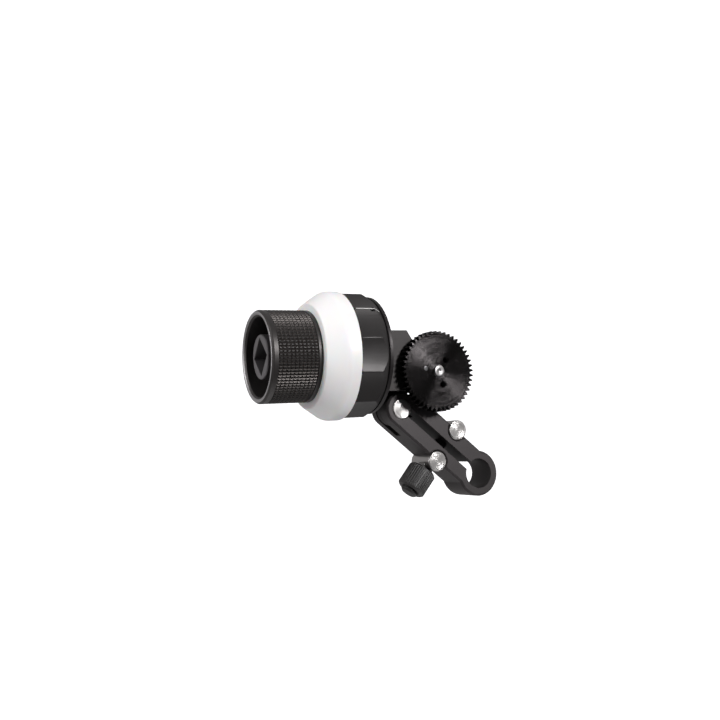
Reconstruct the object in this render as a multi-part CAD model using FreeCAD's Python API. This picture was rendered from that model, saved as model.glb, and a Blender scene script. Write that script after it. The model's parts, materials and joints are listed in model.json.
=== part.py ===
import FreeCAD, Part
import math
import os

# A rod-mounted follow focus. X runs from the focus knob towards the drive gear,
# Y runs along the support rod away from the operator, Z is up, all in millimetres.
# The origin is the centre of the rod clamp's bore.

Vector = FreeCAD.Vector
along_x = Vector(1, 0, 0)
along_y = Vector(0, 1, 0)
along_z = Vector(0, 0, 1)

# Fits between pieces
running_fit = 0.03
pin_fit = 0.02
seat_fit = 0.02
free_gap = 0.3
axial_play = 0.05
screw_gap = 0.15
shaft_end_gap = 0.15

# Hex recess of each screw, drawn round, as shares of the head
key_radius_share = 0.5
key_depth_share = 0.5

# Clamp arm
rod_radius = 7.5
rod_wall = 4.0
arm_angle = 41.0
arm_thickness = 18.0
arm_half_width = 9.9
arm_length = 54.5
arm_end_radius = 8.3
arm_taper_start = 38.5
arm_edge = 1.0
slit_width = 4.4
slit_drop = 0.4
clevis_width = 5.0
clevis_back_cheek = 5.5
clevis_depth = 10.5
barrel_radius = 5.0
barrel_proud = 0.2
barrel_bevel = 0.35
pin_hole_bevel = 0.25
cradle_gap = 0.05
cradle_bevel = 0.9
clamp_distance = 23.0
clamp_screw_radius = 3.0
clamp_hole_gap = 0.3
clamp_screw_bevel = 0.5

# Clamp knob
seat_depth = 1.1
washer_radius = 4.6
washer_thickness = 1.5
clamp_knob_radius = 7.3
clamp_knob_length = 12.5
clamp_knob_bevel = 0.9
clamp_knob_flutes = 40
flute_radius = 0.4
flute_depth = 0.22
cap_radius = 4.6
cap_height = 3.5
cap_bevel = 1.0
cap_recess = 1.5
screw_tip = 3.4

# Pivot of the gearbox on the arm
pivot_washer_thickness = 0.5
tongue_half_width = 8.0
pivot_to_floor = 8.85
pivot_to_left_face = 13.3
pivot_to_output = 16.2

# Gearbox housing and its covers
housing_length = 42.0
housing_front = -13.0
housing_depth = 25.0
housing_height = 25.2
housing_wall = 3.0
housing_corner = 3.5
shoulder_height = 18.1
shoulder_run = 4.3
flat_top_length = 19.2
floor_wall = 2.6
bevel_chamber_clearance = 0.4
bevel_chamber_roof = 2.5
output_wall = 4.0
spur_back_wall = 3.0
web_thickness = 3.0
spur_chamber_length = 12.0
top_cover_height = 4.5
top_cover_slant = 2.7
rear_cover_thickness = 2.2
cover_screw_radius = 1.0
cover_screw_head = 1.8
cover_screw_head_height = 1.3
cover_screw_length = 7.5
cover_screw_margin = 0.15
rear_screw_lift = 2.9
rear_screw_side = 2.5

# Gear train
shaft_spacing = 10.0
layshaft_height = 8.6
layshaft_radius = 2.5
spur_module = 0.5
spur_teeth = 20
spur_width = 6.0
spur_start = 5.0
spur_dedendum = 1.25
spur_flank_start = 0.3
input_shaft_step = 1.5
pressure_angle = 20.0
backlash = 0.08
bevel_module = 0.7
bevel_teeth = 16
bevel_face = 2.0
bevel_hub_radius = 4.2
bevel_hub_length = 3.3
bevel_addendum = 0.8
bevel_dedendum = 1.1
bevel_flank_steps = 5
bush_radius = 4.0
bush_flange = 4.8
bush_flange_thickness = 0.8
output_radius = 2.5
output_shaft_inset = 0.55
output_bearing_radius = 6.5
rear_bush_radius = 3.6

# Drive gear
gear_module = 0.8
gear_teeth = 48
gear_width = 4.5
gear_hub_radius = 10.0
gear_hub_thickness = 1.7
gear_screw_radius = 1.5
gear_screw_head = 3.1
gear_screw_top = 2.6
gear_screw_key = 0.8
gear_screw_head_height = 1.1
gear_screw_length = 8.0
drive_pin_circle = 7.0
drive_pin_radius = 1.25
drive_pin_recess = 0.3
drive_hole_turn = 48.0
drive_hole_bore = 1.0
drive_hole_bevel = 0.8

# Ring carrier and index ring
flange_radius = 29.1
flange_thickness = 1.8
flange_bevel = 0.15
ring_hub_radius = 20.0
ring_bore_fit = 0.06
ring_radius = 31.0
ring_length = 14.7
ring_scallops = 12
ring_scallop_depth = 1.8
ring_crest_land = 0.4
ring_index_angle = 40.0
ring_bevel_length = 4.1
ring_bevel_depth = 2.4
ring_recess_radius = 23.0
ring_recess_depth = 2.0
circlip_groove = 1.0
circlip_thickness = 0.9
circlip_radius = 22.0
circlip_opening = 40.0
bearing_radius = 8.0
bearing_width = 5.0
bearing_shoulder = 6.5
bearing_inset = 0.5
carrier_screw_circle = 11.0
carrier_screw_angles = (20.0, 50.0)
carrier_screw_radius = 1.0
carrier_screw_head = 1.9
carrier_screw_head_height = 2.5
carrier_screw_grip = 4.5
index_screw_radius = 1.5
index_screw_length = 5.4
index_screw_recess = 0.9
index_screw_back = 5.0
pad_gap = 0.15

# Marking disc and its carrier
disc_radius = 31.5
disc_length = 15.4
disc_front_radius = 25.5
disc_cone_length = 8.9
disc_edge = 0.8
disc_bevel = 0.4
disc_gap = 0.5
disc_hub_radius = 17.0
disc_flange_radius = 24.0
disc_flange_thickness = 2.0
disc_flange_inset = 0.2
disc_boss_radius = 5.5
o_ring_wire = 0.95
o_ring_place = 6.2

# Focus knob
knob_radius = 22.2
knob_length = 25.1
knob_rim_radius = 21.3
knob_rim_bevel = 1.1
knob_front_band = 3.4
knob_back_band = 2.2
knob_rows = 10
knurl_depth = 0.5
cup_radius = 19.0
cup_bevel = 1.4
cup_depth = 13.3
knob_web = 6.0
knob_back_cavity = 18.2
knob_hub_radius = 9.0
boss_radius = 10.7
boss_inset = 2.0
boss_bevel = 0.4
socket_side = 13.0
socket_depth = 9.0
knob_shaft_radius = 4.0
socket_screw_radius = 2.0
socket_screw_head = 3.5
socket_screw_head_height = 4.0
socket_screw_grip = 8.0

# Arm frame: s runs from the rod bore towards the pivot, t runs across the arm
arm_turn = math.radians(arm_angle)
arm_s = Vector(-math.cos(arm_turn), 0, math.sin(arm_turn))
arm_t = Vector(math.sin(arm_turn), 0, math.cos(arm_turn))
arm_front = -arm_thickness / 2
arm_back = arm_thickness / 2
pivot_t = arm_end_radius - arm_half_width

# Places that follow from the sizes
clevis_back = arm_back - clevis_back_cheek
clevis_front = clevis_back - clevis_width
tongue_back = clevis_back - pivot_washer_thickness - axial_play
tongue_front = clevis_front + pivot_washer_thickness + axial_play
pivot = arm_s * arm_length + arm_t * pivot_t
housing_left = pivot.x - pivot_to_left_face
housing_right = housing_left + housing_length
housing_floor = pivot.z + pivot_to_floor
housing_top = housing_floor + housing_height
top_face = housing_top + top_cover_height
housing_back = housing_front + housing_depth
rear_face = housing_back + rear_cover_thickness
shoulder_end = housing_left + flat_top_length
shoulder_z = housing_floor + shoulder_height
layshaft_z = housing_floor + layshaft_height
knob_z = layshaft_z + shaft_spacing
output_x = pivot.x + pivot_to_output
chamber_left = housing_left + housing_wall
web_left = chamber_left + spur_chamber_length
web_right = web_left + web_thickness
spur_left = housing_left + spur_start
spur_right = spur_left + spur_width
bevel_radius = bevel_module * bevel_teeth / 2
bevel_left = output_x - bevel_radius
bevel_front = -bevel_radius
gear_back = housing_front - axial_play - gear_hub_thickness
gear_front = gear_back - gear_width
flange_front = housing_left - flange_thickness
ring_back = flange_front - free_gap
ring_front = ring_back - ring_length
clip_front = ring_front + ring_recess_depth - circlip_thickness - 2 * axial_play
carrier_front = ring_front + free_gap
bearing_left = carrier_front + bearing_inset
bearing_right = housing_left - bearing_inset - bearing_width
disc_back = ring_front - disc_gap
disc_front = disc_back - disc_length
flange_back = disc_back - disc_flange_inset
knob_front = disc_front - knob_length
web_front = knob_front + cup_depth
boss_front = knob_front + boss_inset
socket_floor = boss_front + socket_depth
shaft_left = web_front + shaft_end_gap
cover_screw_inset = cover_screw_head + cover_screw_margin
knob_axis = Vector(0, 0, knob_z)
layshaft_axis = Vector(0, 0, layshaft_z)
output_axis = Vector(output_x, 0, layshaft_z)
clamp_axis = arm_s * clamp_distance
washer_seat = -arm_half_width - barrel_radius + seat_depth
knob_seat = washer_seat - washer_thickness
knob_end = knob_seat - clamp_knob_length
screw_start = knob_end + cap_recess
screw_end = arm_half_width + screw_tip
index_turn = math.radians(ring_index_angle)
index_direction = Vector(0, -math.cos(index_turn), math.sin(index_turn))
index_screw_centre = knob_axis + along_x * (ring_back - index_screw_back)
index_screw_top = ring_radius - index_screw_recess


def spot(s, t, y=0.0):
    return arm_s * s + arm_t * t + along_y * y


def cylinder(radius, start, end, base, direction):
    return Part.makeCylinder(radius, end - start, base + direction * start, direction)


def tube(outer, inner, start, end, base, direction):
    return cylinder(outer, start, end, base, direction).cut(cylinder(inner, start, end, base, direction))


def turned(profile, base, direction):
    # The profile lists (distance along the axis, radius), and is spun about that axis
    corners = [Vector(radius, 0, distance) for distance, radius in profile]
    face = Part.Face(Part.makePolygon(corners + corners[:1]))
    solid = face.revolve(Vector(0, 0, 0), along_z, 360)
    solid.Placement = FreeCAD.Placement(base, FreeCAD.Rotation(along_z, direction))
    return solid


def block(low, high):
    return Part.makeBox(high[0] - low[0], high[1] - low[1], high[2] - low[2], Vector(*low))


def plate(corners, direction):
    face = Part.Face(Part.makePolygon(corners + corners[:1]))
    return face.extrude(direction)


def arm_block(s_low, s_high, t_low, t_high, y_low, y_high):
    corners = [spot(s, t, y_low) for s, t in
               ((s_low, t_low), (s_high, t_low), (s_high, t_high), (s_low, t_high))]
    return plate(corners, along_y * (y_high - y_low))


# Involute teeth
def involute(angle):
    return math.tan(angle) - angle


def spur_half_angle(radius, module, teeth):
    pitch = module * teeth / 2
    flat = math.radians(pressure_angle)
    base = pitch * math.cos(flat)
    at_pitch = math.pi / (2 * teeth) - backlash / (2 * pitch)
    slope = math.acos(min(1.0, base / radius))
    return at_pitch + involute(flat) - involute(slope)


def spur_rows(module, teeth):
    pitch = module * teeth / 2
    root = pitch - spur_dedendum * module
    tip = pitch + module
    base = pitch * math.cos(math.radians(pressure_angle))
    middle = max(base, root + spur_flank_start * module)
    radii = [root, middle, (middle + pitch) / 2, pitch, (pitch + tip) / 2, tip]
    return [(radius, spur_half_angle(max(radius, base), module, teeth)) for radius in radii]


def bevel_half_angle(cone, teeth):
    # Spherical involute of a gear whose pitch cone is 45 degrees
    base = math.asin(math.sin(math.pi / 4) * math.cos(math.radians(pressure_angle)))

    def swept(angle):
        if angle <= base:
            return 0.0
        roll = math.acos(math.cos(angle) / math.cos(base)) / math.sin(base)
        return roll - math.acos(math.tan(base) / math.tan(angle))

    at_pitch = math.pi / (2 * teeth) - backlash / (2 * bevel_radius)
    return at_pitch + swept(math.pi / 4) - swept(cone)


def bevel_rows(distance):
    slant = bevel_radius * math.sqrt(2)
    low = math.pi / 4 - math.atan(bevel_dedendum * bevel_module / slant)
    high = math.pi / 4 + math.atan(bevel_addendum * bevel_module / slant)
    rise = (high - low) / bevel_flank_steps
    cones = [low + rise * step for step in range(bevel_flank_steps + 1)]
    return [(distance * math.tan(cone), bevel_half_angle(cone, bevel_teeth)) for cone in cones]


def toothed_wire(rows, teeth, turn, centre, across, up):
    corners = []
    for tooth in range(teeth):
        middle = turn + 2 * math.pi * tooth / teeth
        flank = [(radius, middle - half) for radius, half in rows]
        flank += [(radius, middle + half) for radius, half in reversed(rows)]
        corners += [centre + across * (r * math.cos(a)) + up * (r * math.sin(a)) for r, a in flank]
    return Part.makePolygon(corners + corners[:1])


def spur_gear(module, teeth, turn, centre, across, up, width):
    wire = toothed_wire(spur_rows(module, teeth), teeth, turn, centre, across, up)
    return Part.Face(wire).extrude(width)


def bevel_teeth_solid(turn, apex, direction, across, up):
    # Direction points from the apex to the gear's large end
    wires = []
    for distance in (bevel_radius, bevel_radius - bevel_face):
        wires.append(toothed_wire(bevel_rows(distance), bevel_teeth, turn,
                                  apex + direction * distance, across, up))
    return Part.makeLoft(wires, True, True)


# Clamp arm: a split aluminium link that grips the rod at one end and the pivot pin at the other
def clamp_arm():
    centre = Vector(arm_length, pivot_t, 0)
    corner = Vector(arm_taper_start, arm_half_width, 0)
    reach = centre - corner
    slope = math.atan2(reach.y, reach.x) + math.asin(arm_end_radius / reach.Length)
    run = math.sqrt(reach.Length ** 2 - arm_end_radius ** 2)
    touch = (corner.x + run * math.cos(slope), corner.y + run * math.sin(slope))

    def place(s, t):
        return spot(s, t, arm_front)

    start = place(0, -arm_half_width)
    low = place(arm_length, -arm_half_width)
    tip = place(arm_length + arm_end_radius, pivot_t)
    high = place(*touch)
    shoulder = place(arm_taper_start, arm_half_width)
    close = place(0, arm_half_width)
    edges = [Part.LineSegment(start, low).toShape(), Part.Arc(low, tip, high).toShape(),
             Part.LineSegment(high, shoulder).toShape(), Part.LineSegment(shoulder, close).toShape(),
             Part.LineSegment(close, start).toShape()]
    link = Part.Face(Part.Wire(edges)).extrude(along_y * arm_thickness)
    rims = [edge for edge in link.Edges if abs(edge.BoundBox.YLength) < 0.001
            and edge.CenterOfMass.sub(spot(0, 0)).dot(arm_s) > arm_edge]
    link = link.makeChamfer(arm_edge, rims)
    outer = rod_radius + rod_wall
    eye = turned([(arm_front, 0), (arm_front, outer - arm_edge), (arm_front + arm_edge, outer),
                  (arm_back - arm_edge, outer), (arm_back, outer - arm_edge), (arm_back, 0)],
                 Vector(0, 0, 0), along_y)
    arm = link.fuse(eye)
    cradle = barrel_radius + cradle_gap
    pin_hole = barrel_radius + pin_fit
    cuts = [cylinder(rod_radius, arm_front, arm_back, Vector(0, 0, 0), along_y),
            arm_block(0, arm_length, -slit_drop - slit_width / 2, -slit_drop + slit_width / 2,
                      arm_front, arm_back),
            arm_block(arm_length - clevis_depth, arm_length + 2 * arm_end_radius,
                      -2 * arm_half_width, 2 * arm_half_width, clevis_front, clevis_back),
            cylinder(clamp_screw_radius + clamp_hole_gap, -2 * arm_half_width, 2 * arm_half_width,
                     clamp_axis, arm_t)]
    cuts.append(bevelled_bore(pin_hole, pin_hole_bevel, pivot))
    for side in (-1, 1):
        cuts.append(bevelled_bore(cradle, cradle_bevel, spot(clamp_distance, side * arm_half_width)))
    return arm.cut(cuts).removeSplitter()


def bevelled_bore(radius, bevel, base):
    return turned([(arm_front, 0), (arm_front, radius + bevel), (arm_front + bevel, radius),
                   (arm_back - bevel, radius), (arm_back, radius + bevel), (arm_back, 0)],
                  Vector(base.x, 0, base.z), along_y)


def barrel(base):
    low = arm_front - barrel_proud
    high = arm_back + barrel_proud
    return turned([(low, 0), (low, barrel_radius - barrel_bevel), (low + barrel_bevel, barrel_radius),
                   (high - barrel_bevel, barrel_radius), (high, barrel_radius - barrel_bevel), (high, 0)],
                  Vector(base.x, 0, base.z), along_y)


def pivot_pin():
    return barrel(pivot)


def pivot_washers():
    front = tube(tongue_half_width - free_gap, barrel_radius + running_fit,
                 clevis_front, clevis_front + pivot_washer_thickness, pivot, along_y)
    back = tube(tongue_half_width - free_gap, barrel_radius + running_fit,
                clevis_back - pivot_washer_thickness, clevis_back, pivot, along_y)
    return Part.makeCompound([front, back])


def plain_barrel():
    # The clamp screw passes through it, and its outer side is spot-faced for the washer
    hole = cylinder(clamp_screw_radius + clamp_hole_gap, -2 * arm_half_width, 0, clamp_axis, arm_t)
    seat = cylinder(washer_radius + free_gap, -2 * arm_half_width, washer_seat, clamp_axis, arm_t)
    return barrel(spot(clamp_distance, -arm_half_width)).cut([hole, seat])


def barrel_nut():
    thread = cylinder(clamp_screw_radius + pin_fit, 0, 2 * arm_half_width, clamp_axis, arm_t)
    return barrel(spot(clamp_distance, arm_half_width)).cut(thread)


def thrust_washer():
    return tube(washer_radius, clamp_screw_radius + running_fit, knob_seat, washer_seat, clamp_axis, arm_t)


def clamp_screw():
    return turned([(screw_start, 0), (screw_start, clamp_screw_radius),
                   (screw_end - clamp_screw_bevel, clamp_screw_radius),
                   (screw_end, clamp_screw_radius - clamp_screw_bevel), (screw_end, 0)], clamp_axis, arm_t)


def clamp_knob():
    bevel = clamp_knob_bevel
    body = turned([(knob_end, 0), (knob_end, clamp_knob_radius - bevel),
                   (knob_end + bevel, clamp_knob_radius), (knob_seat - bevel, clamp_knob_radius),
                   (knob_seat, clamp_knob_radius - bevel), (knob_seat, 0)], clamp_axis, arm_t)
    cuts = [cylinder(clamp_screw_radius, screw_start, knob_seat, clamp_axis, arm_t),
            cylinder(cap_radius, knob_end, screw_start, clamp_axis, arm_t)]
    for flute in range(clamp_knob_flutes):
        turn = 2 * math.pi * flute / clamp_knob_flutes
        reach = clamp_knob_radius + flute_radius - flute_depth
        centre = clamp_axis + arm_s * (reach * math.cos(turn)) + along_y * (reach * math.sin(turn))
        cuts.append(cylinder(flute_radius, knob_end, knob_seat, centre, arm_t))
    return body.cut(cuts)


def knob_cap():
    low = screw_start - cap_height
    return turned([(screw_start, 0), (screw_start, cap_radius), (low + cap_bevel, cap_radius),
                   (low, cap_radius - cap_bevel), (low, 0)], clamp_axis, arm_t)


# Gearbox housing: one milled block with a chamber for the spur pair, a chamber for the bevel pair
# and the tongue that swings on the pivot pin
def housing_outline(y):
    points = [(housing_left, housing_floor), (housing_right - housing_corner, housing_floor),
              (housing_right, housing_floor + housing_corner),
              (housing_right, shoulder_z - housing_corner), (housing_right - housing_corner, shoulder_z),
              (shoulder_end + shoulder_run, shoulder_z), (shoulder_end, housing_top),
              (housing_left, housing_top)]
    return [Vector(x, y, z) for x, z in points]


def tongue():
    low = block((pivot.x - tongue_half_width, tongue_front, pivot.z),
                (pivot.x + tongue_half_width, tongue_back, housing_floor + floor_wall))
    return low.fuse(cylinder(tongue_half_width, tongue_front, tongue_back, pivot, along_y))


def bevel_tip():
    return bevel_rows(bevel_radius)[-1][0]


def gearbox_housing():
    body = plate(housing_outline(housing_front), along_y * housing_depth).fuse(tongue())
    spur_floor = housing_floor + floor_wall
    reach = bevel_tip() + bevel_chamber_clearance
    cuts = [block((chamber_left, housing_front + housing_wall, spur_floor),
                  (web_left, housing_back - spur_back_wall, housing_top)),
            block((web_right, housing_front + output_wall, layshaft_z - reach),
                  (output_x + reach, housing_back, shoulder_z - bevel_chamber_roof)),
            cylinder(bearing_shoulder, housing_left, chamber_left, knob_axis, along_x),
            cylinder(bush_radius, housing_left, web_right, layshaft_axis, along_x),
            cylinder(output_bearing_radius, housing_front, housing_front + output_wall,
                     output_axis, along_y),
            cylinder(barrel_radius + running_fit, tongue_front, tongue_back, pivot, along_y)]
    for y, z in carrier_screw_places():
        cuts.append(cylinder(carrier_screw_radius + pin_fit, housing_left, chamber_left,
                             Vector(0, y, z), along_x))
    for x, y in top_screw_places():
        cuts.append(cylinder(cover_screw_radius + pin_fit, top_face - cover_screw_length, housing_top,
                             Vector(x, y, 0), along_z))
    for x, z in rear_screw_places():
        cuts.append(cylinder(cover_screw_radius + pin_fit, rear_face - cover_screw_length, housing_back,
                             Vector(x, 0, z), along_y))
    return body.cut(cuts).removeSplitter()


def top_screw_places():
    xs = (housing_left + cover_screw_inset, shoulder_end - top_cover_slant - cover_screw_inset)
    ys = (housing_front + cover_screw_inset, housing_back - cover_screw_inset)
    return [(x, y) for x in xs for y in ys]


def rear_screw_places():
    left = housing_left + cover_screw_inset
    right = housing_right - rear_screw_side
    return [(left, housing_floor + rear_screw_lift), (left, housing_top - rear_screw_lift),
            (right, housing_floor + housing_corner), (right, shoulder_z - housing_corner)]


def carrier_screw_places():
    places = []
    for angle in carrier_screw_angles:
        turn = math.radians(angle)
        across = carrier_screw_circle * math.cos(turn)
        drop = carrier_screw_circle * math.sin(turn)
        places += [(-across, knob_z - drop), (across, knob_z - drop)]
    return places


def flat_screw(base, direction):
    # Countersunk screw whose head lies flush with the cover: the axis starts at the tip
    end = cover_screw_length
    neck = end - cover_screw_head_height
    head = turned([(0, 0), (0, cover_screw_radius), (neck, cover_screw_radius), (end, cover_screw_head),
                   (end, 0)], base, direction)
    socket = cylinder(key_radius_share * cover_screw_head, end - key_depth_share * cover_screw_head_height,
                      end, base, direction)
    return head.cut(socket)


def sink(base, direction):
    end = cover_screw_length
    neck = end - cover_screw_head_height
    return turned([(0, 0), (0, cover_screw_radius + running_fit), (neck, cover_screw_radius + running_fit),
                   (end, cover_screw_head + running_fit), (end, 0)], base, direction)


def top_screw_bases():
    return [Vector(x, y, top_face - cover_screw_length) for x, y in top_screw_places()]


def rear_screw_bases():
    return [Vector(x, rear_face - cover_screw_length, z) for x, z in rear_screw_places()]


def top_cover():
    corners = [Vector(x, housing_front, z) for x, z in
               ((housing_left, housing_top), (shoulder_end, housing_top),
                (shoulder_end - top_cover_slant, top_face), (housing_left, top_face))]
    return plate(corners, along_y * (rear_face - housing_front)).cut(
        [sink(base, along_z) for base in top_screw_bases()])


def rear_cover():
    sheet = plate(housing_outline(housing_back), along_y * rear_cover_thickness)
    cuts = [sink(base, along_y) for base in rear_screw_bases()]
    cuts.append(cylinder(rear_bush_radius, housing_back, rear_face, output_axis, along_y))
    return sheet.cut(cuts)


def cover_screws():
    screws = [flat_screw(base, along_z) for base in top_screw_bases()]
    screws += [flat_screw(base, along_y) for base in rear_screw_bases()]
    return Part.makeCompound(screws)


# Ring carrier: the flanged hub that holds the knob's bearings and guides the index ring
def ring_carrier():
    body = turned([(carrier_front, 0), (carrier_front, ring_hub_radius),
                   (flange_front, ring_hub_radius), (flange_front, flange_radius - flange_bevel),
                   (flange_front + flange_bevel, flange_radius),
                   (housing_left, flange_radius), (housing_left, 0)], knob_axis, along_x)
    cuts = [cylinder(bearing_radius, carrier_front, bearing_left + bearing_width, knob_axis, along_x),
            cylinder(bearing_shoulder, carrier_front, housing_left, knob_axis, along_x),
            cylinder(bearing_radius, bearing_right, housing_left, knob_axis, along_x),
            tube(ring_hub_radius + free_gap, ring_hub_radius - circlip_groove, clip_front,
                 clip_front + circlip_thickness, knob_axis, along_x)]
    for y, z in carrier_screw_places():
        base = Vector(0, y, z)
        cuts.append(cylinder(carrier_screw_radius + screw_gap, carrier_front, housing_left, base, along_x))
        cuts.append(cylinder(carrier_screw_head + screw_gap, carrier_front,
                             housing_left - carrier_screw_grip, base, along_x))
    return body.cut(cuts)


def carrier_screws():
    seat = housing_left - carrier_screw_grip
    screws = []
    for y, z in carrier_screw_places():
        base = Vector(0, y, z)
        head = cylinder(carrier_screw_head, seat - carrier_screw_head_height, seat, base, along_x)
        shank = cylinder(carrier_screw_radius, seat, chamber_left - free_gap, base, along_x)
        socket = cylinder(key_radius_share * carrier_screw_head, seat - carrier_screw_head_height,
                          seat - key_depth_share * carrier_screw_head_height, base, along_x)
        screws.append(head.fuse(shank).cut(socket).removeSplitter())
    return Part.makeCompound(screws)


def input_bearings():
    rings = [tube(bearing_radius, knob_shaft_radius + running_fit, start, start + bearing_width,
                  knob_axis, along_x) for start in (bearing_left, bearing_right)]
    return Part.makeCompound(rings)


def ring_circlip():
    clip = tube(circlip_radius, ring_hub_radius - circlip_groove + seat_fit, clip_front,
                clip_front + circlip_thickness, knob_axis, along_x)
    half = math.radians(circlip_opening / 2)
    far = 2 * circlip_radius
    corners = [knob_axis + along_x * clip_front + along_z * z + along_y * y for y, z in
               ((0, 0), (far * math.sin(half), far * math.cos(half)),
                (-far * math.sin(half), far * math.cos(half)))]
    return clip.cut(plate(corners, along_x * circlip_thickness))


# Index ring: scalloped on the outside, free to turn on the ring carrier
def index_ring():
    edge = ring_back - ring_bevel_length
    recess_end = ring_front + ring_recess_depth
    bore = ring_hub_radius + ring_bore_fit
    body = turned([(ring_front, ring_recess_radius), (ring_front, ring_radius - free_gap),
                   (ring_front + free_gap, ring_radius), (edge, ring_radius),
                   (ring_back, ring_radius - ring_bevel_depth), (ring_back, bore), (recess_end, bore),
                   (recess_end, ring_recess_radius)], knob_axis, along_x)
    half = math.pi / ring_scallops - math.radians(ring_crest_land)
    crest_x = ring_radius * math.cos(half)
    crest_y = ring_radius * math.sin(half)
    low = ring_radius - ring_scallop_depth
    distance = (crest_x ** 2 + crest_y ** 2 - low ** 2) / (2 * (crest_x - low))
    cuts = []
    for scallop in range(ring_scallops):
        turn = index_turn + math.pi * (2 * scallop + 1) / ring_scallops
        centre = knob_axis + Vector(0, -distance * math.cos(turn), distance * math.sin(turn))
        cuts.append(cylinder(distance - low, ring_front, ring_back, centre, along_x))
    cuts.append(cylinder(index_screw_radius + pin_fit, 0.5 * ring_radius, 2 * ring_radius,
                         index_screw_centre, index_direction))
    return body.cut(cuts)


def index_screw():
    top = index_screw_top
    body = cylinder(index_screw_radius, top - index_screw_length, top, index_screw_centre, index_direction)
    key_floor = top - key_depth_share * index_screw_length
    return body.cut(cylinder(key_radius_share * index_screw_radius, key_floor, top,
                             index_screw_centre, index_direction))


def friction_pad():
    return cylinder(index_screw_radius, ring_hub_radius + pad_gap, index_screw_top - index_screw_length,
                    index_screw_centre, index_direction)


# Marking disc: a white plastic ring pushed over an O-ring on its carrier
def marking_disc():
    bore = disc_hub_radius + seat_fit
    pocket = flange_back - disc_flange_thickness
    cone_end = disc_front + disc_cone_length
    return turned([(disc_front, bore), (disc_front, disc_front_radius),
                   (cone_end, disc_radius - disc_bevel), (cone_end + disc_edge, disc_radius),
                   (disc_back - disc_bevel, disc_radius), (disc_back, disc_radius - disc_bevel),
                   (disc_back, disc_flange_radius + seat_fit), (pocket, disc_flange_radius + seat_fit),
                   (pocket, bore)], knob_axis, along_x)


def disc_carrier():
    pocket = flange_back - disc_flange_thickness
    body = turned([(disc_front, knob_shaft_radius), (disc_front, disc_hub_radius), (pocket, disc_hub_radius),
                   (pocket, disc_flange_radius), (flange_back, disc_flange_radius),
                   (flange_back, disc_boss_radius), (bearing_left - axial_play, disc_boss_radius),
                   (bearing_left - axial_play, knob_shaft_radius)], knob_axis, along_x)
    middle = disc_front + o_ring_place
    groove = tube(2 * disc_hub_radius, disc_hub_radius - 2 * o_ring_wire, middle - o_ring_wire,
                  middle + o_ring_wire, knob_axis, along_x)
    return body.cut(groove)


def disc_o_ring():
    middle = knob_axis + along_x * (disc_front + o_ring_place)
    return Part.makeTorus(disc_hub_radius - o_ring_wire, o_ring_wire, middle, along_x)


# Focus knob: a knurled aluminium cup with a square crank socket in its middle
def knob_grip():
    knurl_start = knob_front + knob_front_band
    knurl_end = disc_front - knob_back_band
    pitch = (knurl_end - knurl_start) / knob_rows
    outer = [(knob_front, knob_rim_radius), (knob_front + knob_rim_bevel, knob_radius)]
    for row in range(knob_rows):
        outer.append((knurl_start + row * pitch, knob_radius))
        outer.append((knurl_start + (row + 0.5) * pitch, knob_radius - knurl_depth))
    outer += [(knurl_end, knob_radius), (disc_front, knob_radius)]
    web_back = web_front + knob_web
    inner = [(disc_front, knob_back_cavity), (web_back, knob_back_cavity), (web_back, knob_hub_radius),
             (disc_front, knob_hub_radius), (disc_front, knob_shaft_radius),
             (shaft_left, knob_shaft_radius), (shaft_left, socket_screw_radius + screw_gap),
             (web_front, socket_screw_radius + screw_gap), (web_front, cup_radius),
             (knob_front + cup_bevel, cup_radius), (knob_front, cup_radius + cup_bevel)]
    return turned(outer + inner, knob_axis, along_x)


def socket_boss():
    body = turned([(boss_front, 0), (boss_front, boss_radius - boss_bevel),
                   (boss_front + boss_bevel, boss_radius), (web_front, boss_radius), (web_front, 0)],
                  knob_axis, along_x)
    reach = socket_side / math.sqrt(2)
    corners = [knob_axis + along_x * boss_front + offset for offset in
               (along_z * reach, along_y * reach, along_z * -reach, along_y * -reach)]
    socket = plate(corners, along_x * socket_depth)
    hole = cylinder(socket_screw_radius + screw_gap, boss_front, web_front, knob_axis, along_x)
    return body.cut([socket, hole])


def socket_screw():
    top = socket_floor - socket_screw_head_height
    tip = shaft_left + socket_screw_grip
    head = cylinder(socket_screw_head, top, socket_floor, knob_axis, along_x)
    shank = cylinder(socket_screw_radius, socket_floor, tip, knob_axis, along_x)
    key = cylinder(key_radius_share * socket_screw_head, top,
                   socket_floor - key_depth_share * socket_screw_head_height, knob_axis, along_x)
    return head.fuse(shank).cut(key).removeSplitter()


# Shafts and gears
def input_shaft():
    step = housing_left + input_shaft_step
    end = spur_right + free_gap
    body = turned([(shaft_left, 0), (shaft_left, knob_shaft_radius), (step, knob_shaft_radius),
                   (step, layshaft_radius), (end, layshaft_radius), (end, 0)], knob_axis, along_x)
    return body.cut(cylinder(socket_screw_radius + pin_fit, shaft_left,
                             shaft_left + socket_screw_grip + free_gap, knob_axis, along_x))


def train_gear(base, turn):
    gear = spur_gear(spur_module, spur_teeth, turn, base + along_x * spur_left, along_y, along_z,
                     along_x * spur_width)
    return gear.cut(cylinder(layshaft_radius, spur_left, spur_right, base, along_x))


def input_pinion():
    return train_gear(knob_axis, -math.pi / 2)


def layshaft_gear():
    return train_gear(layshaft_axis, math.pi / 2 + math.pi / spur_teeth)


def layshaft():
    return cylinder(layshaft_radius, housing_left + free_gap, bevel_left + bevel_face - free_gap,
                    layshaft_axis, along_x)


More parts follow.
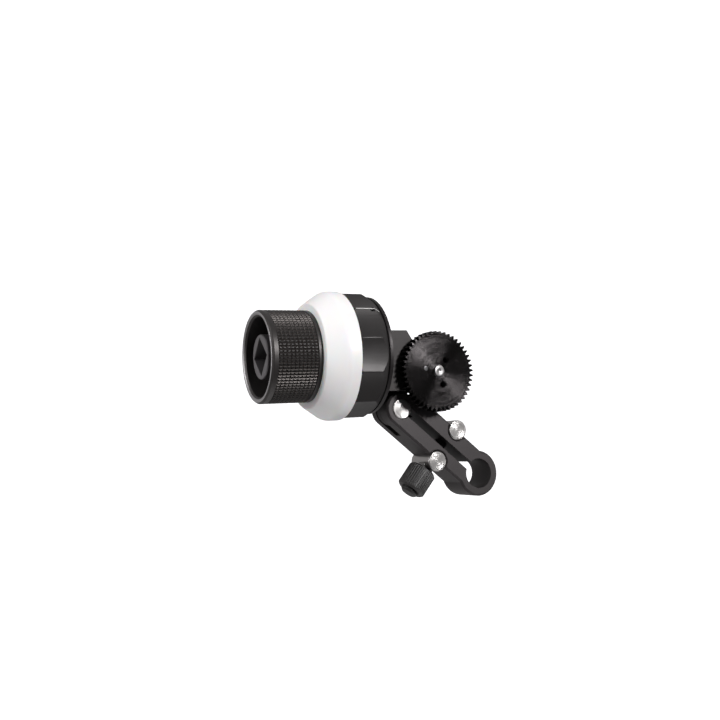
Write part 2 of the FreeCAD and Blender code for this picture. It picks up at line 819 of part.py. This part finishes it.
def layshaft_bushes():
    bore = layshaft_radius + running_fit
    left = tube(bush_radius, bore, housing_left, chamber_left, layshaft_axis, along_x)
    left = left.fuse(tube(bush_flange, bore, chamber_left, chamber_left + bush_flange_thickness,
                          layshaft_axis, along_x))
    right = tube(bush_radius, bore, web_left, web_right, layshaft_axis, along_x)
    right = right.fuse(tube(bush_flange, bore, web_right, web_right + bush_flange_thickness,
                            layshaft_axis, along_x))
    return Part.makeCompound([left.removeSplitter(), right.removeSplitter()])


def bevel_pinion():
    teeth = bevel_teeth_solid(math.pi, output_axis, along_x * -1, along_y, along_z)
    hub = cylinder(bevel_hub_radius, bevel_left - bevel_hub_length, bevel_left, layshaft_axis, along_x)
    bore = cylinder(layshaft_radius, bevel_left - bevel_hub_length, output_x, layshaft_axis, along_x)
    return teeth.fuse(hub).cut(bore).removeSplitter()


def bevel_gear():
    teeth = bevel_teeth_solid(math.pi + math.pi / bevel_teeth, output_axis, along_y * -1, along_x, along_z)
    start = housing_front + output_wall + axial_play
    hub = cylinder(bevel_hub_radius, start, bevel_front, output_axis, along_y)
    bore = cylinder(output_radius, start, 0, output_axis, along_y)
    return teeth.fuse(hub).cut(bore).removeSplitter()


def output_shaft():
    front = gear_front + output_shaft_inset
    body = cylinder(output_radius, front, rear_face - free_gap, output_axis, along_y)
    return body.cut(cylinder(gear_screw_radius + pin_fit, front, front + gear_screw_length + free_gap,
                             output_axis, along_y))


def output_bearing():
    return tube(output_bearing_radius, output_radius + running_fit, housing_front,
                housing_front + output_wall, output_axis, along_y)


def output_bush():
    bore = output_radius + running_fit
    body = tube(rear_bush_radius, bore, housing_back, rear_face, output_axis, along_y)
    rim = tube(rear_bush_radius + bush_flange_thickness, bore, housing_back - bush_flange_thickness,
               housing_back, output_axis, along_y)
    return body.fuse(rim).removeSplitter()


def drive_place(step):
    turn = math.radians(drive_hole_turn + 120 * step)
    return output_axis + Vector(drive_pin_circle * math.cos(turn), 0, drive_pin_circle * math.sin(turn))


def gear_hub():
    end = gear_back + gear_hub_thickness
    body = tube(gear_hub_radius, output_radius, gear_back, end, output_axis, along_y)
    return body.cut(cylinder(drive_pin_radius, gear_back, end, drive_place(1), along_y))


def drive_gear():
    body = spur_gear(gear_module, gear_teeth, 0.0, output_axis + along_y * gear_front, along_x, along_z,
                     along_y * gear_width)
    cuts = [cylinder(output_radius + seat_fit, gear_front, gear_back, output_axis, along_y),
            cylinder(drive_pin_radius + seat_fit, gear_front, gear_back, drive_place(1), along_y)]
    for step in (0, 2):
        cuts.append(turned([(gear_front, 0), (gear_front, drive_hole_bore + drive_hole_bevel),
                            (gear_front + drive_hole_bevel, drive_hole_bore), (gear_back, drive_hole_bore),
                            (gear_back, 0)], drive_place(step), along_y))
    return body.cut(cuts)


def drive_pin():
    return cylinder(drive_pin_radius, gear_front + drive_pin_recess, gear_back + gear_hub_thickness,
                    drive_place(1), along_y)


def gear_screw():
    top = gear_front - gear_screw_head_height
    head = turned([(top, 0), (top, gear_screw_top), (gear_front, gear_screw_head), (gear_front, 0)],
                  output_axis, along_y)
    shank = cylinder(gear_screw_radius, gear_front, gear_front + gear_screw_length, output_axis, along_y)
    key = cylinder(gear_screw_key, top, top + key_depth_share * gear_screw_head_height, output_axis, along_y)
    return head.fuse(shank).cut(key).removeSplitter()


pieces = [clamp_arm, pivot_pin, pivot_washers, plain_barrel, barrel_nut, thrust_washer, clamp_screw,
          clamp_knob, knob_cap, gearbox_housing, top_cover, rear_cover, cover_screws, ring_carrier,
          carrier_screws, input_bearings, ring_circlip, index_ring, index_screw, friction_pad,
          marking_disc, disc_carrier, disc_o_ring, knob_grip, socket_boss, socket_screw, input_shaft,
          input_pinion, layshaft, layshaft_gear, layshaft_bushes, bevel_pinion, bevel_gear, output_shaft,
          output_bearing, output_bush, gear_hub, drive_gear, drive_pin, gear_screw]

os.makedirs("parts", exist_ok=True)
for piece in pieces:
    solid = piece()
    name = piece.__name__
    solid.exportStep("parts/" + name + ".step")
    print(name, len(solid.Solids), solid.isValid(), round(solid.Volume, 2))
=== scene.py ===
import json
import math
import bmesh
import bpy
from mathutils import Matrix, Vector


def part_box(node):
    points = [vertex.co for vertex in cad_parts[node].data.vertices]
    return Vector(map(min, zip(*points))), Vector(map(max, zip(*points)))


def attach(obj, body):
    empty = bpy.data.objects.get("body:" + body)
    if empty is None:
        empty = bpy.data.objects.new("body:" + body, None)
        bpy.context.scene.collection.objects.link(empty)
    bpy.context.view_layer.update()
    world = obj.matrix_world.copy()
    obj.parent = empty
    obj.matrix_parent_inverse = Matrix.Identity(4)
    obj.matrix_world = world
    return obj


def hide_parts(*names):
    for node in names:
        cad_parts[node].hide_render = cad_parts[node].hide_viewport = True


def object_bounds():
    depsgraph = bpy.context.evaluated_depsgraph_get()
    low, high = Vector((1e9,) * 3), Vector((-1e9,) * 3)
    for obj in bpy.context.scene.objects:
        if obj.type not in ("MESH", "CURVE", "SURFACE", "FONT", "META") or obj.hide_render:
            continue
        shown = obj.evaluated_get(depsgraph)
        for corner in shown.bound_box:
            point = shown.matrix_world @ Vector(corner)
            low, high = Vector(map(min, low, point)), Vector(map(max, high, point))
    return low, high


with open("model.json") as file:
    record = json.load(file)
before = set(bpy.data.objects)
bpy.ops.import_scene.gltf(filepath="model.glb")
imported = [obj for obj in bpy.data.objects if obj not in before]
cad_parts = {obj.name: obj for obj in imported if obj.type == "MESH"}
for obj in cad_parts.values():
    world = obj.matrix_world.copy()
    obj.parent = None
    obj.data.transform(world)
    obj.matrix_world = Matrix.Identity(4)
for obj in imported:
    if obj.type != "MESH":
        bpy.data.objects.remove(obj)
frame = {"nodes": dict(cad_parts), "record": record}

cad_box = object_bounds()

# Camera: it stands in front of the unit on the knob's side, level with the clamp, and looks slightly up.
# It is rolled a few degrees, as in the photograph.
camera_place = Vector((-0.244094, -0.381851, 0.022602))
camera_turn = math.radians(-25.828)
camera_rise = math.radians(5.025)
camera_roll = math.radians(-3.293)
camera = bpy.data.objects.new("camera", bpy.data.cameras.new("camera"))
camera.data.lens = 42.88
camera.data.sensor_width = 36.0
camera.data.clip_start = 0.01
aim = Matrix.Rotation(camera_turn, 4, "Z") @ Matrix.Rotation(math.pi / 2 + camera_rise, 4, "X")
camera.matrix_world = Matrix.Translation(camera_place) @ aim @ Matrix.Rotation(camera_roll, 4, "Z")
bpy.context.scene.collection.objects.link(camera)
bpy.context.scene.camera = camera
bpy.context.scene.view_settings.view_transform = "Standard"


# Studio: a wide white bowl whose floor runs up into its wall in one sweep, so that no edge shows
# behind the unit. It is matt opal board that is lit from behind, and only the camera sees it.
class Reading:
    """A socket that changes over a surface, so that a sum of readings is written as plain Python."""

    def __init__(self, tree, socket):
        self.tree = tree
        self.socket = socket

    def maths(self, operation, first, *others):
        node = self.tree.nodes.new("ShaderNodeMath")
        node.operation = operation
        for place, value in zip(node.inputs, (first,) + others):
            if isinstance(value, Reading):
                self.tree.links.new(value.socket, place)
            else:
                place.default_value = value
        return Reading(self.tree, node.outputs[0])

    def __add__(self, other):
        return self.maths("ADD", self, other)

    def __radd__(self, other):
        return self.maths("ADD", other, self)

    def __sub__(self, other):
        return self.maths("SUBTRACT", self, other)

    def __rsub__(self, other):
        return self.maths("SUBTRACT", other, self)

    def __mul__(self, other):
        return self.maths("MULTIPLY", self, other)

    def __rmul__(self, other):
        return self.maths("MULTIPLY", other, self)

    def __truediv__(self, other):
        return self.maths("DIVIDE", self, other)

    def __pow__(self, other):
        return self.maths("POWER", self, other)

    def above(self, level):
        return self.maths("GREATER_THAN", self, level)


class Shading:
    """A node tree of a material or of the sky, to which nodes are added one at a time."""

    def __init__(self, tree):
        self.tree = tree

    def node(self, kind, settings=None, inputs=None, output=0):
        node = self.tree.nodes.new("ShaderNode" + kind)
        for setting, value in (settings or {}).items():
            setattr(node, setting, value)
        for socket, value in (inputs or {}).items():
            if isinstance(value, Reading):
                self.tree.links.new(value.socket, node.inputs[socket])
            else:
                node.inputs[socket].default_value = value
        return Reading(self.tree, node.outputs[output])


class Finish(Shading):
    """A material that is built up on a Principled shader."""

    def __init__(self, name, **constants):
        self.material = bpy.data.materials.new(name)
        self.material.use_nodes = True
        super().__init__(self.material.node_tree)
        self.shader = self.tree.nodes["Principled BSDF"]
        for socket, value in constants.items():
            self.shader.inputs[socket.replace("_", " ")].default_value = value

    def feed(self, socket, reading):
        self.tree.links.new(reading.socket, self.shader.inputs[socket])

    def place(self):
        return self.node("TexCoord", output="Object")

    def noise(self, scale, detail=3.0):
        return self.node("TexNoise", {}, {"Vector": self.place(), "Scale": scale, "Detail": detail}, "Fac")

    def blend(self, amount, first, second):
        """Goes from one colour to another. They are sockets 6 and 7 of the node, and the result is 2."""
        return self.node("Mix", {"data_type": "RGBA"}, {"Factor": amount, 6: first, 7: second}, 2)

    def bump(self, height, distance, strength=1.0):
        return self.node("Bump", {}, {"Height": height, "Distance": distance, "Strength": strength})


def spun(profile, centre, axis, steps):
    """Turns a line of (distance along the axis, radius) points about the axis into a skin."""
    axis = Vector(axis)
    side = axis.orthogonal().normalized()
    skin = bmesh.new()
    line = [skin.verts.new(centre + axis * along + side * radius) for along, radius in profile]
    edges = [skin.edges.new(pair) for pair in zip(line, line[1:])]
    bmesh.ops.spin(skin, geom=line + edges, cent=centre, axis=axis, dvec=(0, 0, 0), angle=2 * math.pi,
                   steps=steps, use_merge=True, use_duplicate=False)
    bmesh.ops.remove_doubles(skin, verts=skin.verts, dist=1e-7)
    bmesh.ops.recalc_face_normals(skin, faces=skin.faces)
    return skin


def shown(name, skin, finish, smooth=30.0):
    """Makes an object of a bmesh, with its gentle edges smooth and its sharp ones crisp."""
    mesh = bpy.data.meshes.new(name)
    skin.to_mesh(mesh)
    skin.free()
    for face in mesh.polygons:
        face.use_smooth = True
    mesh.set_sharp_from_angle(angle=math.radians(smooth))
    mesh.materials.append(finish.material)
    piece = bpy.data.objects.new(name, mesh)
    bpy.context.scene.collection.objects.link(piece)
    return piece


bowl_floor = -0.16
bowl_radius = 1.5
bowl_sweep = 0.6
bowl_height = 1.5
bowl_steps = 12
bowl_sides = 64
bowl_turns = [step * math.pi / 2 / bowl_steps for step in range(bowl_steps + 1)]
bowl_line = [(bowl_floor, 0.0)]
bowl_line += [(bowl_floor + bowl_sweep * (1 - math.cos(turn)),
               bowl_radius - bowl_sweep * (1 - math.sin(turn))) for turn in bowl_turns]
bowl_line += [(bowl_floor + bowl_height, bowl_radius)]
board = Finish("opal_board", Roughness=0.9, Emission_Strength=0.85)
opal = board.blend(board.noise(3.0), (0.93, 0.93, 0.94, 1), (0.9, 0.9, 0.91, 1))
board.feed("Base Color", opal)
board.feed("Emission Color", opal)
bowl = shown("studio_bowl", spun(bowl_line, Vector((0, 0, 0)), (0, 0, 1), bowl_sides), board)
bowl.visible_glossy = False
bowl.visible_diffuse = False
bowl.visible_shadow = False


# Lights: one small hard key at the right, and softboxes over the unit, at the knob's side and below. The
# rest of the room is white above and behind, and dark on the camera's side.
middle = (cad_box[0] + cad_box[1]) / 2


def lamp(name, place, size, power):
    light = bpy.data.lights.new(name, "AREA")
    light.shape = "RECTANGLE"
    light.size = size[0]
    light.size_y = size[1]
    light.energy = power
    holder = bpy.data.objects.new(name, light)
    facing = (middle - place).to_track_quat("-Z", "Y").to_matrix().to_4x4()
    holder.matrix_world = Matrix.Translation(place) @ facing
    bpy.context.scene.collection.objects.link(holder)


lamp("key", middle + Vector((0.33, -1.03, 0.35)), (0.19, 0.19), 13.5)
lamp("overhead", Vector((-0.1, 0.15, 1.1)), (1.1, 0.7), 0.4)
lamp("knob_side", Vector((-1.1, -0.05, 0.40)), (0.5, 0.9), 9.6)
lamp("floor_bounce", Vector((-0.1, 0.1, -0.9)), (1.2, 1.0), 3.6)
dark_side = Vector((-0.25, -0.9, -0.3)).normalized()
room_light = 0.38
room_dark = 0.07
dark_from = -0.1
dark_to = 0.6
sky = bpy.data.worlds.new("sky")
sky.use_nodes = True
room = Shading(sky.node_tree)
toward = room.node("TexCoord", output="Generated")
nearness = room.node("VectorMath", {"operation": "DOT_PRODUCT"}, {0: toward, 1: dark_side}, "Value")
glow = room.node("MapRange", {"interpolation_type": "SMOOTHSTEP"},
                 {"Value": nearness, "From Min": dark_from, "From Max": dark_to,
                  "To Min": room_light, "To Max": room_dark})
sky_panel = sky.node_tree.nodes["Background"]
sky_panel.inputs["Color"].default_value = (1.0, 0.985, 0.985, 1)
room.tree.links.new(glow.socket, sky_panel.inputs["Strength"])
bpy.context.scene.world = sky


# Clamp arm: one aluminium link, milled from bar, split along its length and bead blasted before its
# satin black anodising, so a fine grain shows a little lighter. Its edges are just broken.
def tone(colour, brightness=1.0):
    """An opaque colour, at full brightness or a share or a multiple of it."""
    return tuple(brightness * part for part in colour) + (1,)


def grained(name, colour, worn, roughness=0.42):
    """Bead blasted and anodised aluminium: fine grain, uneven sheen and a slight cast in the dye."""
    finish = Finish(name, Metallic=0.55, Specular_IOR_Level=0.5)
    dye = finish.noise(90.0, 4.0)
    speck = finish.noise(5200.0, 2.0)
    shade = finish.blend(dye, tone(colour), tone(colour, 1.25))
    finish.feed("Base Color", finish.blend(speck ** 3.0 * 0.5, shade, tone(worn)))
    finish.feed("Roughness", roughness + 0.10 * finish.noise(140.0, 3.0) + 0.06 * speck)
    finish.feed("Normal", finish.bump(speck, 0.000015, 0.6))
    return finish


def edged(piece, width, segments, crease):
    """Breaks those edges of a piece that turn by more than the crease angle."""
    rim = piece.modifiers.new("broken_edges", "BEVEL")
    rim.width = width
    rim.segments = segments
    rim.limit_method = "ANGLE"
    rim.angle_limit = math.radians(crease)
    return rim


def softened(node, finish, edge):
    """Shows a copy of a machined solid, with its sharp edges just broken, in the solid's place."""
    crease = 35.0
    skin = bmesh.new()
    skin.from_mesh(frame["nodes"][node].data)
    bmesh.ops.remove_doubles(skin, verts=skin.verts, dist=1e-6)
    piece = shown("dressed_" + node, skin, finish, crease)
    edged(piece, edge, 2, crease)
    even = piece.modifiers.new("even_shading", "WEIGHTED_NORMAL")
    even.weight = 100
    even.keep_sharp = True
    bodies = frame["record"]["behaviour"]["bodies"]
    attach(piece, next(body for body, nodes in bodies.items() if node in nodes))
    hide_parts(node)


arm_black = grained("arm_black", (0.032, 0.028, 0.029), (0.085, 0.078, 0.078))
softened("clamp_arm", arm_black, 0.00018)


# Cross pins: three stainless pins lie across the arm, one as the gearbox's pivot and two as the clamp's
# barrels. Their ends are faced in a lathe, so fine rings fan the light out like a bow tie.
def across(finish, centre, axis):
    """Distance of each point from a turning axis, and its place along it."""
    moved = finish.node("VectorMath", {"operation": "SUBTRACT"}, {0: finish.place(), 1: centre})
    along = finish.node("VectorMath", {"operation": "DOT_PRODUCT"}, {0: moved, 1: axis}, "Value")
    shadow = finish.node("VectorMath", {"operation": "CROSS_PRODUCT"}, {0: moved, 1: axis})
    out = finish.node("VectorMath", {"operation": "LENGTH"}, {0: shadow}, "Value")
    return out, along


def rings(finish, reading, pitch):
    """Uneven tool marks, one every pitch, along a distance."""
    return finish.node("TexNoise", {"noise_dimensions": "1D"},
                       {"W": reading / pitch, "Scale": 1.0, "Detail": 1.0}, "Fac")


def turned_steel(name, centre, axis, colour=(0.46, 0.445, 0.438), roughness=0.29):
    """Bright steel with the lathe's rings in its ends and fainter ones along its sides."""
    finish = Finish(name, Metallic=1.0)
    out, along = across(finish, centre, axis)
    faced = rings(finish, out, 0.00022)
    sides = rings(finish, along, 0.00025)
    finish.feed("Base Color", finish.blend(faced, tone(colour), tone(colour, 0.82)))
    finish.feed("Roughness", roughness + 0.05 * finish.noise(600.0, 3.0))
    finish.feed("Normal", finish.bump(faced + 0.12 * sides, 0.00005))
    return finish


for node in ("pivot_pin", "plain_barrel", "barrel_nut"):
    low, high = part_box(node)
    steel = turned_steel("turned_" + node, (low + high) / 2, (0, 1, 0))
    softened(node, steel, 0.0002)

# Clamp screw: a turned steel screw, blackened, that draws the arm's jaws together. A polished stainless
# washer lies under its knob.
oxide = Finish("black_oxide", Metallic=0.8)
bloom = oxide.noise(1500.0)
oxide.feed("Base Color", oxide.blend(bloom, (0.03, 0.03, 0.032, 1), (0.06, 0.058, 0.06, 1)))
oxide.feed("Roughness", 0.3 + 0.15 * oxide.noise(2500.0))
softened("clamp_screw", oxide, 0.0002)
arm_angle = math.radians(41.0)
arm_across = (math.sin(arm_angle), 0, math.cos(arm_angle))
low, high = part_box("clamp_screw")
washer_steel = turned_steel("screw_steel", (low + high) / 2, arm_across, (0.74, 0.73, 0.72), 0.22)
softened("thrust_washer", washer_steel, 0.00015)

# Clamp knob: black plastic with fine finger flutes, moulded on the outer end of the clamp screw. A darker
# button is pressed into its end.
for node, deep, pale in (("clamp_knob", (0.011, 0.010, 0.010, 1), (0.028, 0.026, 0.026, 1)),
                         ("knob_cap", (0.004, 0.004, 0.004, 1), (0.010, 0.009, 0.009, 1))):
    plastic = Finish(node + "_plastic", Specular_IOR_Level=0.45)
    cloud = plastic.noise(900.0, 4.0)
    plastic.feed("Base Color", plastic.blend(cloud, deep, pale))
    plastic.feed("Roughness", 0.38 + 0.16 * cloud)
    plastic.feed("Normal", plastic.bump(plastic.noise(4200.0, 2.0), 0.00003, 0.5))
    softened(node, plastic, 0.0004)

# Gearbox: a milled aluminium block with a tongue that swings on the pivot pin. Its top and rear covers
# are screwed on, and all three are bead blasted and anodised together.
box_black = grained("box_black", (0.020, 0.0175, 0.0175), (0.056, 0.051, 0.051), 0.48)
softened("gearbox_housing", box_black, 0.0004)
softened("top_cover", box_black, 0.0004)
softened("rear_cover", box_black, 0.0002)

# Screws and circlip: black oxide steel. The covers' screws are countersunk, the carrier's and the socket's
# have cylinder heads, the index ring has a set screw, and the circlip holds that ring on its carrier.
for node in ("cover_screws", "carrier_screws", "ring_circlip", "index_screw", "socket_screw"):
    softened(node, oxide, 0.00008)

# Ring carrier: an aluminium flange, turned, anodised and screwed to the gearbox's side. The lathe's fine
# lines are left in its face.
knob_low, knob_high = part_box("knob_grip")
knob_centre = Vector((knob_low.x, 0, (knob_low.z + knob_high.z) / 2))


def turned_black(name, colour, roughness=0.36, depth=0.6, cut_rim_and_highlight=None):
    """Aluminium turned about the knob's axis and anodised, with tool marks and, where a rim's inner and
    outer radius and its last place along the axis are given, that rim cut bright and painted lighter
    still, as a painted highlight."""
    finish = Finish(name, Metallic=0.6, Specular_IOR_Level=0.5)
    out, along = across(finish, knob_centre, (1, 0, 0))
    marks = rings(finish, out, 0.00025) + rings(finish, along, 0.0003)
    dye = finish.noise(110.0, 4.0)
    speck = finish.noise(5000.0, 2.0)
    shade = finish.blend(dye, tone(colour), tone(colour, 1.3))
    if cut_rim_and_highlight:
        inner, outer, back = cut_rim_and_highlight
        # The rim is a bright cut whose colour is painted lighter still, as a painted highlight.
        cut = out.above(inner) * (1.0 - out.above(outer)) * (1.0 - along.above(back))
        shade = finish.blend(cut, shade, (0.28, 0.27, 0.275, 1))
    finish.feed("Base Color", shade)
    finish.feed("Roughness", roughness + 0.10 * dye + 0.05 * speck)
    finish.feed("Normal", finish.bump(marks + 0.4 * speck, 0.00003, depth))
    return finish


flange_black = turned_black("flange_black", (0.020, 0.0175, 0.018))
softened("ring_carrier", flange_black, 0.00015)

# Index ring: a scalloped aluminium ring that turns on the carrier. A white line is filled into one crest
# and runs down the ring's bevel.
ring_black = grained("ring_black", (0.026, 0.024, 0.024), (0.075, 0.07, 0.07), 0.34)
softened("index_ring", ring_black, 0.00015)
ring_radius = 0.031
ring_bevel_run = 0.0041
ring_bevel_drop = 0.0024
line_width = 0.00042
line_lift = 0.00003
line_thickness = 0.0001
line_front_gap = 0.0010
line_back_gap = 0.0006
line_angle = math.radians(40.0)
line_out = Vector((0, -math.cos(line_angle), math.sin(line_angle)))
line_side = Vector((0, math.sin(line_angle), math.cos(line_angle)))
low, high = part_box("index_ring")
line_points = [(low.x + line_front_gap, ring_radius), (high.x - ring_bevel_run, ring_radius),
               (high.x - line_back_gap,
                ring_radius - ring_bevel_drop * (1 - line_back_gap / ring_bevel_run))]
skin = bmesh.new()
corners = [skin.verts.new(Vector((x, 0, knob_centre.z)) + line_out * (radius + line_lift)
                          - line_side * line_width / 2) for x, radius in line_points]
side = [skin.edges.new(pair) for pair in zip(corners, corners[1:])]
strip = bmesh.ops.extrude_edge_only(skin, edges=side)["geom"]
far_corners = [part for part in strip if isinstance(part, bmesh.types.BMVert)]
bmesh.ops.translate(skin, vec=line_side * line_width, verts=far_corners)
bmesh.ops.recalc_face_normals(skin, faces=skin.faces)
bmesh.ops.solidify(skin, geom=skin.faces[:], thickness=line_thickness)
paint = Finish("line_paint", Roughness=0.5)
wear = paint.noise(3000.0)
paint.feed("Base Color", paint.blend(wear, (0.75, 0.74, 0.73, 1), (0.6, 0.59, 0.58, 1)))
index_line = shown("index_line", skin, paint)
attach(index_line, "index_ring_set")

# Marking disc: turned from white acetal, so it is matt, slightly waxy and lets a little light in. Its rim
# is rounded where the cone ends, and its back is recessed over the carrier.
low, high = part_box("marking_disc")
disc_radius = (high.z - low.z) / 2
disc_face = 0.0255
disc_cone = 0.0089
disc_bore = 0.01702
disc_edge = 0.0005
disc_round = 0.0018
disc_sides = 128
recess_radius = 0.024
recess_depth = 0.0022
round_steps = 8
corner = Vector((low.x + disc_cone, disc_radius))
into = (corner - Vector((low.x, disc_face))).normalized() * disc_round
onward = Vector((disc_round, 0))
soft_corner = [corner - into * (1 - t) ** 2 + onward * t ** 2
               for t in [step / round_steps for step in range(round_steps + 1)]]
disc_line = [(low.x, disc_bore), (low.x, disc_face)] + [tuple(point) for point in soft_corner]
disc_line += [(high.x, disc_radius), (high.x, recess_radius), (high.x - recess_depth, recess_radius),
              (high.x - recess_depth, disc_bore), (low.x, disc_bore)]
acetal = Finish("white_acetal", Subsurface_Weight=0.25, Subsurface_Scale=0.002, Specular_IOR_Level=0.45)
out, along = across(acetal, knob_centre, (1, 0, 0))
milk = acetal.noise(60.0)
acetal.feed("Base Color", acetal.blend(milk, (0.80, 0.79, 0.795, 1), (0.775, 0.765, 0.77, 1)))
acetal.feed("Roughness", 0.36 + 0.08 * acetal.noise(200.0))
marks = rings(acetal, along, 0.0004) + rings(acetal, out, 0.0004)
acetal.feed("Normal", acetal.bump(marks, 0.000012, 0.5))
knob_axis = Vector((0, 0, knob_centre.z))
disc = shown("marking_disc_turned", spun(disc_line, knob_axis, (1, 0, 0), disc_sides), acetal)
edged(disc, disc_edge, 3, 25.0).harden_normals = True
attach(disc, "focus_knob")
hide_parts("marking_disc")

# Focus knob: turned aluminium with a cut knurl, anodised black. The rim of its cup is chamfered and cut
# bright, and painted lighter still as a painted highlight. The flanks of the knurl's squares are painted
# lighter, as a painted highlight, and their tips darker, as painted shade.
knob_radius = (knob_high.z - knob_low.z) / 2
knob_sides = 128
rim_radius = 0.0213
rim_chamfer = 0.0011
front_band = 0.0034
back_band = 0.0022
band_edge = 0.00022
knurl_floor = 0.00050
knurl_rows = 10
knurl_count = 90
knurl_flank = 0.00073
knurl_tip = 0.00012
cup_radius = 0.0190
cup_chamfer = 0.0014
cup_depth = 0.0133
hub_radius = 0.0090
knurl_start = knob_low.x + front_band
knurl_end = knob_high.x - back_band
cup_floor = knob_low.x + cup_depth
cup_line = [(knurl_start, knob_radius - knurl_floor), (knurl_start, knob_radius),
            (knob_low.x + rim_chamfer, knob_radius), (knob_low.x, rim_radius),
            (knob_low.x, cup_radius + cup_chamfer), (knob_low.x + cup_chamfer, cup_radius),
            (cup_floor, cup_radius), (cup_floor, 0.0)]
back_line = [(knurl_end, knob_radius - knurl_floor), (knurl_end, knob_radius),
             (knob_high.x, knob_radius), (knob_high.x, hub_radius), (knob_high.x, 0.0)]
# The cup's rim is a bright cut whose colour is painted lighter still, as a painted highlight along its
# chamfer.
rim_highlight_margin = 0.0001
rim_highlight_depth = 0.0006
cut_rim_and_highlight = (cup_radius + 0.6 * cup_chamfer, rim_radius + rim_highlight_margin, rim_highlight_depth)
knob_black = turned_black("knob_black", (0.033, 0.030, 0.0295), 0.36, 0.5, cut_rim_and_highlight)
for name, profile in (("knob_cup", cup_line), ("knob_back", back_line)):
    band = shown(name, spun(profile, knob_axis, (1, 0, 0), knob_sides), knob_black)
    edged(band, band_edge, 2, 25.0).harden_normals = True
    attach(band, "focus_knob")
    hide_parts("knob_grip")
knurl_line = [(knurl_start + (knurl_end - knurl_start) * row / knurl_rows, knob_radius - knurl_floor)
              for row in range(knurl_rows + 1)]
skin = spun(knurl_line, knob_axis, (1, 0, 0), knurl_count)
bmesh.ops.inset_individual(skin, faces=skin.faces[:], thickness=knurl_flank, depth=knurl_floor)
knurl_black = Finish("knurl_black", Metallic=0.75, Specular_IOR_Level=0.6)
out, along = across(knurl_black, knob_centre, (1, 0, 0))
# Painted highlight on the knurl's flanks and painted shade on its tips: the flanks get the lighter colour,
# the tips the darker one.
painted_flank_highlight = (0.048, 0.0425, 0.0405, 1)
painted_tip_shade = (0.020, 0.018, 0.018, 1)
knurl_black.feed("Base Color", knurl_black.blend(out.above(knob_radius - knurl_tip), painted_flank_highlight, painted_tip_shade))
knurl_black.feed("Roughness", 0.42 + 0.12 * knurl_black.noise(2500.0))
knurl = shown("knob_knurl", skin, knurl_black, 20.0)
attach(knurl, "focus_knob")
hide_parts("knob_grip")

# Socket boss: a turned aluminium boss in the knob's cup, with a square socket for a crank broached in it,
# corner up. A screw in the socket's floor holds it.
boss_face = turned_black("boss_face", (0.11, 0.103, 0.107), 0.3, 0.5)
softened("socket_boss", boss_face, 0.0003)

# Drive gear: cut from aluminium plate and faced in a lathe before its dark grey anodising, so the rings in
# its face spread the light into two soft wedges. A bright screw and a pin hold it to its hub.
low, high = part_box("drive_gear")
gear_centre = Vector(((low.x + high.x) / 2, low.y, (low.z + high.z) / 2))
gear_grey = Finish("gear_grey", Metallic=1.0)
out, along = across(gear_grey, gear_centre, (0, 1, 0))
faced = rings(gear_grey, out, 0.00014)
dye = gear_grey.noise(120.0, 4.0)
gear_dye = gear_grey.blend(dye, (0.012, 0.0111, 0.0113, 1), (0.015, 0.0138, 0.014, 1))
gear_grey.feed("Base Color", gear_dye)
gear_grey.feed("Roughness", 0.20 + 0.02 * dye)
gear_grey.feed("Normal", gear_grey.bump(faced, 0.00006))
softened("drive_gear", gear_grey, 0.00008)
softened("gear_hub", flange_black, 0.0001)
bright = turned_steel("bright_screw", gear_centre, (0, 1, 0), (0.24, 0.232, 0.232), 0.30)
softened("gear_screw", bright, 0.00015)
softened("drive_pin", oxide, 0.0002)

# Parts inside: bearings, bushes, shafts and small gears of steel, bronze, nylon and rubber. They hardly
# show from outside, so the solids are shown as they are.
shaft_steel = turned_steel("ground_steel", gear_centre, (1, 0, 0), (0.56, 0.56, 0.57), 0.25)
bronze = Finish("sintered_bronze", Metallic=1.0)
grains = bronze.noise(2000.0)
bronze.feed("Base Color", bronze.blend(grains, (0.45, 0.27, 0.11, 1), (0.58, 0.38, 0.18, 1)))
bronze.feed("Roughness", 0.4 + 0.2 * bronze.noise(1500.0))
nylon = Finish("natural_nylon", Roughness=0.5, Subsurface_Weight=0.2, Subsurface_Scale=0.001)
nylon.feed("Base Color", nylon.blend(nylon.noise(500.0), (0.78, 0.75, 0.68, 1), (0.70, 0.67, 0.60, 1)))
rubber = Finish("o_ring_rubber", Roughness=0.65)
mottle = rubber.noise(1500.0)
rubber.feed("Base Color", rubber.blend(mottle, (0.015, 0.015, 0.015, 1), (0.03, 0.03, 0.03, 1)))
inside = {
    "input_bearings": shaft_steel, "input_shaft": shaft_steel, "input_pinion": shaft_steel,
    "layshaft": shaft_steel, "layshaft_gear": shaft_steel, "bevel_pinion": shaft_steel,
    "bevel_gear": shaft_steel, "output_shaft": shaft_steel, "output_bearing": shaft_steel,
    "layshaft_bushes": bronze, "output_bush": bronze, "pivot_washers": nylon, "friction_pad": nylon,
    "disc_o_ring": rubber, "disc_carrier": flange_black,
}
for node, finish in inside.items():
    mesh = frame["nodes"][node].data
    mesh.materials.clear()
    mesh.materials.append(finish.material)
